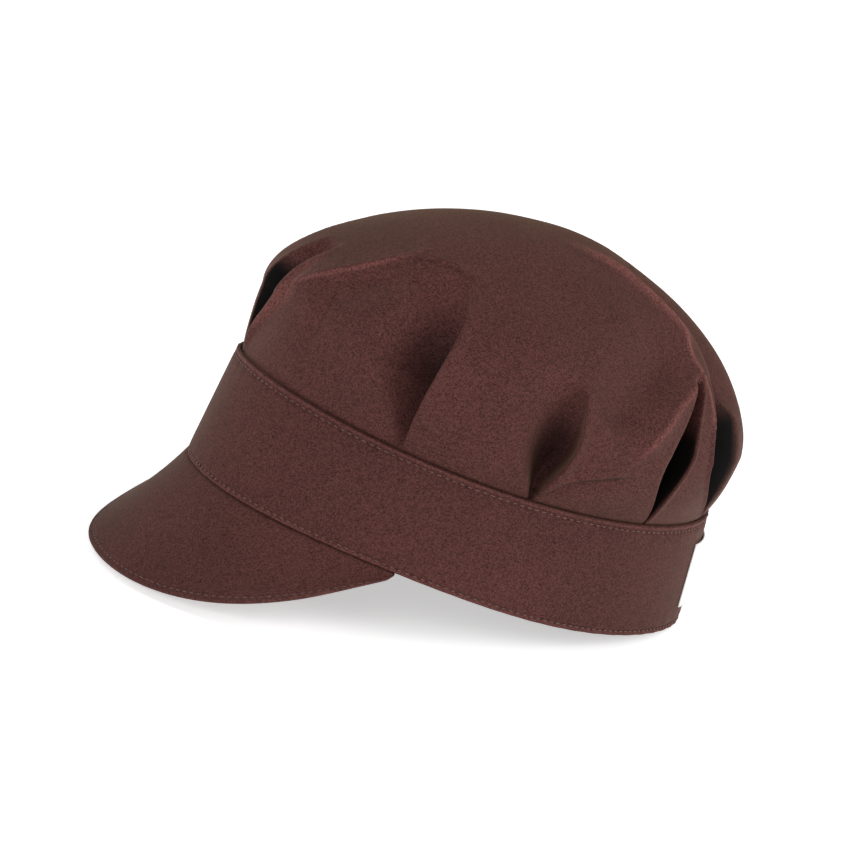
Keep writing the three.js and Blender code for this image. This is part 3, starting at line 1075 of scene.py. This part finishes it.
def twill(name, colour, deep_colour, paints_fold_light=False):
    material, nodes, links, shader = new_material(name)
    shader.inputs["Roughness"].default_value = 0.75
    shader.inputs["Specular IOR Level"].default_value = cloth_gloss
    shader.inputs["Sheen Weight"].default_value = cloth_sheen
    shader.inputs["Sheen Roughness"].default_value = 0.4
    shader.inputs["Sheen Tint"].default_value = sheen_tint

    cloth = nodes.new("ShaderNodeUVMap")
    turned = nodes.new("ShaderNodeMapping")
    turned.vector_type = "TEXTURE"
    turned.inputs["Rotation"].default_value = (0, 0, twill_slant)
    turned.inputs["Scale"].default_value = (yarn_along * MM, yarn_across * MM, 1)
    links.new(cloth.outputs["UV"], turned.inputs["Vector"])
    ribs = noise_texture(nodes, links, turned.outputs["Vector"], 1, 2)

    place = nodes.new("ShaderNodeTexCoord").outputs["Object"]
    grain = nodes.new("ShaderNodeTexVoronoi")
    grain.inputs["Scale"].default_value = 1 / (grain_size * MM)
    links.new(place, grain.inputs["Vector"])
    weave = nodes.new("ShaderNodeMix")
    weave.data_type = "FLOAT"
    weave.inputs["Factor"].default_value = grain_share
    links.new(ribs, weave.inputs["A"])
    links.new(grain.outputs["Color"], weave.inputs["B"])
    woven = weave.outputs["Result"]

    tone = remap(nodes, links, woven, 0.2, 0.8, 0, 1)
    dyed = blend(nodes, links, tone, solid(deep_colour), solid(colour))
    cloud = noise_texture(nodes, links, place, cloud_scale, 3)
    lightness = remap(nodes, links, cloud, 0.3, 0.7, 0.89, 1.1)
    dyed = blend(nodes, links, 1.0, dyed, lightness, "MULTIPLY")
    # Painted shade in the pockets and painted highlights along folds, read from the mesh notes.
    if paints_fold_light:
        dyed = paint_fold_light_and_shade(nodes, links, dyed)
    links.new(dyed, shader.inputs["Base Color"])
    raise_weave(nodes, links, shader, woven, weave_strength, weave_height)
    return material


# %% [markdown]
# ## Thread and tape
#
# The thread is a little lighter than the cloth, and a fine wave across it stands for its ply. The
# tape is white, with ribs across it. Blender's wave turns by 20 radians in a unit of length at
# scale 1, so its scale follows from the pitch of the ribs.

# %% Thread and tape
ply_scale = 700
rib_pitch = 0.5
rib_strength, rib_height = 0.3, 0.1
wave_turn = 20


def waves(nodes, links, place, direction, scale):
    wave = nodes.new("ShaderNodeTexWave")
    wave.bands_direction = direction
    wave.inputs["Scale"].default_value = scale
    links.new(place, wave.inputs["Vector"])
    return wave.outputs["Fac"]


def thread(name, colour):
    material, nodes, links, shader = new_material(name)
    shader.inputs["Roughness"].default_value = 0.6
    shader.inputs["Sheen Weight"].default_value = 0.1
    place = nodes.new("ShaderNodeTexCoord").outputs["Object"]
    ply = waves(nodes, links, place, "DIAGONAL", ply_scale)
    dyed = blend(nodes, links, ply, solid(colour, 0.6), solid(colour))
    links.new(dyed, shader.inputs["Base Color"])
    return material


def woven_tape(name, colour):
    material, nodes, links, shader = new_material(name)
    shader.inputs["Roughness"].default_value = 0.7
    shader.inputs["Sheen Weight"].default_value = 0.15
    cloth = nodes.new("ShaderNodeUVMap").outputs["UV"]
    ribs = waves(nodes, links, cloth, "Y", 2 * math.pi / wave_turn / (rib_pitch * MM))
    dyed = blend(nodes, links, ribs, solid(colour, 0.9), solid(colour))
    links.new(dyed, shader.inputs["Base Color"])
    raise_weave(nodes, links, shader, ribs, rib_strength, rib_height)
    return material


# %% [markdown]
# ## Dressing the pieces
#
# Crown, band and peak are cut from one cloth. The band lies flat and doubled, and its colour is
# painted a touch darker, as shade. Its edges and the crown's folds get painted light and shade
# from their notes; the peak has no pleats and no painted line, so its cloth reads no notes.

# %% Dress the pieces
chocolate = (0.112, 0.0405, 0.0362)
dark_chocolate = (0.026, 0.0084, 0.0070)
# A touch darker copy of the cloth's colour for the band: painted shade.
shaded_band_chocolate = tuple(0.93 * value for value in chocolate)
thread_brown = (0.136, 0.066, 0.057)
tape_white = (0.85, 0.83, 0.81)
finish_with(crown, twill("crown_twill", chocolate, dark_chocolate, paints_fold_light=True))
finish_with(band, twill("band_twill", shaded_band_chocolate, dark_chocolate, paints_fold_light=True))
finish_with(peak, twill("peak_twill", chocolate, dark_chocolate))
finish_with(label, woven_tape("white_tape", tape_white))
brown_thread = thread("brown_thread", thread_brown)
for seam in seams:
    finish_with(seam, brown_thread)
print("finishes:", ", ".join(sorted(material.name for material in bpy.data.materials)))

# %% [markdown]
# ## The floor
#
# A wide pale floor runs out of view behind the cap. It glows a little, so that it looks white and
# still takes a soft shadow, and it glows more farther off, where the lights don't reach it.

# %% The floor
floor_size, floor_drop = 12, 0.0005
glow_from, glow_to = 0.6, 1.6
least_glow, most_glow = 0.52, 1
floor_grey = 0.9

clear_selection()
bpy.ops.mesh.primitive_plane_add(size=floor_size, location=(0, 0, -floor_drop))
floor = bpy.context.object
floor.name = "floor"
pale, nodes, links, shader = new_material("pale_floor")
shader.inputs["Base Color"].default_value = (floor_grey, floor_grey, floor_grey, 1)
shader.inputs["Roughness"].default_value = 0.9
shader.inputs["Specular IOR Level"].default_value = 0.1
shader.inputs["Emission Color"].default_value = (1, 1, 1, 1)
place = nodes.new("ShaderNodeTexCoord").outputs["Object"]
from_middle = nodes.new("ShaderNodeVectorMath")
from_middle.operation = "LENGTH"
links.new(place, from_middle.inputs[0])
glow = remap(nodes, links, from_middle.outputs["Value"], glow_from, glow_to, least_glow, most_glow)
links.new(glow, shader.inputs["Emission Strength"])
finish_with(floor, pale)
print("floor:", floor_size, "m wide")

# %% [markdown]
# ## Soft light
#
# Six large soft lights stand round the cap at one distance. The two at the front left light the
# side that the camera sees, the strongest is behind on the left and lifts the rear folds, one
# from behind and above rims the top, and two weak ones keep the right side from going black. Each
# is placed by its angle round the cap from the front, towards the wearer's left, and its height.
# A faint white sky fills the rest.

# %% The lights
light_distance, light_size = 1.6, 1.0
sky_strength = 0.05
lights = [
    ("front", 20, 20, 8),
    ("left", 60, 24, 8.8),
    ("rear_left", 140, 25, 16.5),
    ("rear_top", 180, 50, 5),
    ("right_low", -60, 20, 4),
    ("right_top", -60, 50, 6),
]


def soft_light(name, round_degrees, height_degrees, power):
    turned, height = math.radians(round_degrees), math.radians(height_degrees)
    toward = Vector((
        math.sin(turned) * math.cos(height),
        -math.cos(turned) * math.cos(height),
        math.sin(height),
    ))
    bpy.ops.object.light_add(type="AREA", location=view_centre + toward * light_distance)
    light = bpy.context.object
    light.name = name
    light.data.shape = "DISK"
    light.data.size = light_size
    light.data.energy = power
    light.rotation_euler = toward.to_track_quat("Z", "Y").to_euler()


for light_row in lights:
    soft_light(*light_row)

world = bpy.data.worlds.new("studio")
bpy.context.scene.world = world
world.use_nodes = True
sky = world.node_tree.nodes["Background"]
sky.inputs["Color"].default_value = (1, 1, 1, 1)
sky.inputs["Strength"].default_value = sky_strength
bpy.context.scene.view_settings.view_transform = "Standard"
print("lights:", len(lights))
